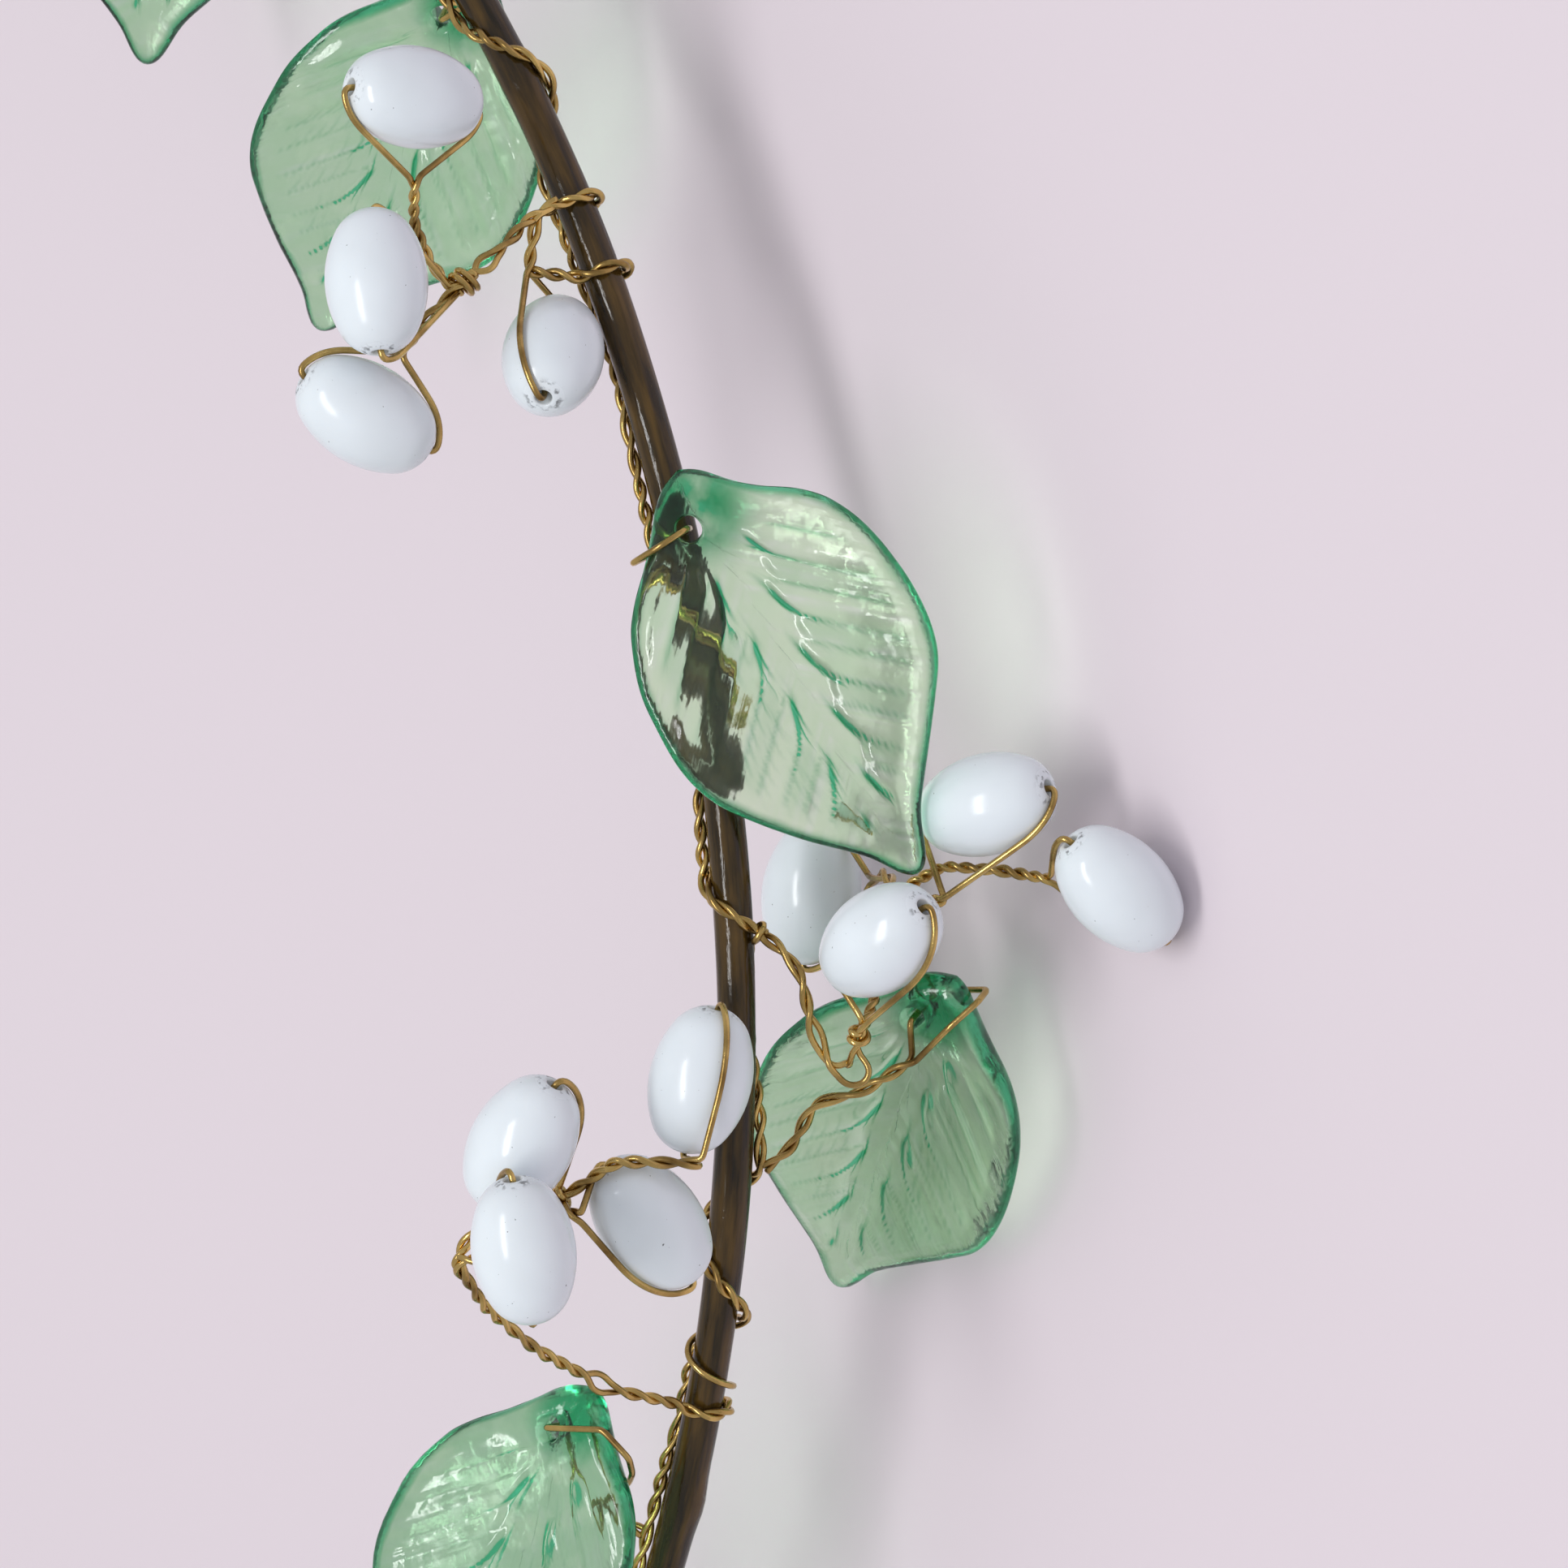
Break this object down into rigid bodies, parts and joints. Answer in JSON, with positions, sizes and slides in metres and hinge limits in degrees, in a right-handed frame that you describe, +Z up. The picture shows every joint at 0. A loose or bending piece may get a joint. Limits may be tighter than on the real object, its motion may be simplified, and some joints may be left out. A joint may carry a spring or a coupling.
{
  "type": "hair crown",
  "caption": "Thin ring of dark stem for the head, wound with twisted brass wire that carries pressed green glass leaves and sprigs of oval white glass beads.",
  "frame": {"origin": "the middle of the head opening, on the plane that the crown lies on", "axes": "+Z up, along the axis of the ring; -Y towards the front of the crown, +Y towards the bound ends at the back; +X to the left side of a wearer"},
  "size_m": [0.2118, 0.2087, 0.0418],
  "materials": {
    "stem": "dark brown glossy lacquer over a thin stem",
    "brass_wire": "antiqued golden-brown wire",
    "green_glass": "pressed translucent sage-green glass, darker at the rim and in the grooves",
    "white_glass": "opaque white glass, smooth and glossy"
  },
  "bodies": {
    "root": {"stem": "stem", "binding_left": "brass_wire", "binding_right": "brass_wire", "vine_wire": "brass_wire", "sprig_wire_1": "brass_wire", "sprig_wire_2": "brass_wire", "sprig_wire_3": "brass_wire", "sprig_wire_4": "brass_wire", "sprig_wire_5": "brass_wire", "sprig_wire_6": "brass_wire", "sprig_wire_7": "brass_wire", "sprig_wire_8": "brass_wire", "sprig_wire_9": "brass_wire", "leaf_1": "green_glass", "leaf_2": "green_glass", "leaf_3": "green_glass", "leaf_4": "green_glass", "leaf_5": "green_glass", "leaf_6": "green_glass", "leaf_7": "green_glass", "leaf_8": "green_glass", "leaf_9": "green_glass", "leaf_10": "green_glass", "bead_1": "white_glass", "bead_2": "white_glass", "bead_3": "white_glass", "bead_4": "white_glass", "bead_5": "white_glass", "bead_6": "white_glass", "bead_7": "white_glass", "bead_8": "white_glass", "bead_9": "white_glass", "bead_10": "white_glass", "bead_11": "white_glass", "bead_12": "white_glass", "bead_13": "white_glass", "bead_14": "white_glass", "bead_15": "white_glass", "bead_16": "white_glass", "bead_17": "white_glass", "bead_18": "white_glass", "bead_19": "white_glass", "bead_20": "white_glass", "bead_21": "white_glass", "bead_22": "white_glass", "bead_23": "white_glass", "bead_24": "white_glass", "bead_25": "white_glass", "bead_26": "white_glass", "bead_27": "white_glass", "bead_28": "white_glass", "bead_29": "white_glass", "bead_30": "white_glass", "bead_31": "white_glass", "bead_32": "white_glass", "bead_33": "white_glass", "bead_34": "white_glass", "bead_35": "white_glass", "bead_36": "white_glass"}
  },
  "joints": []
}
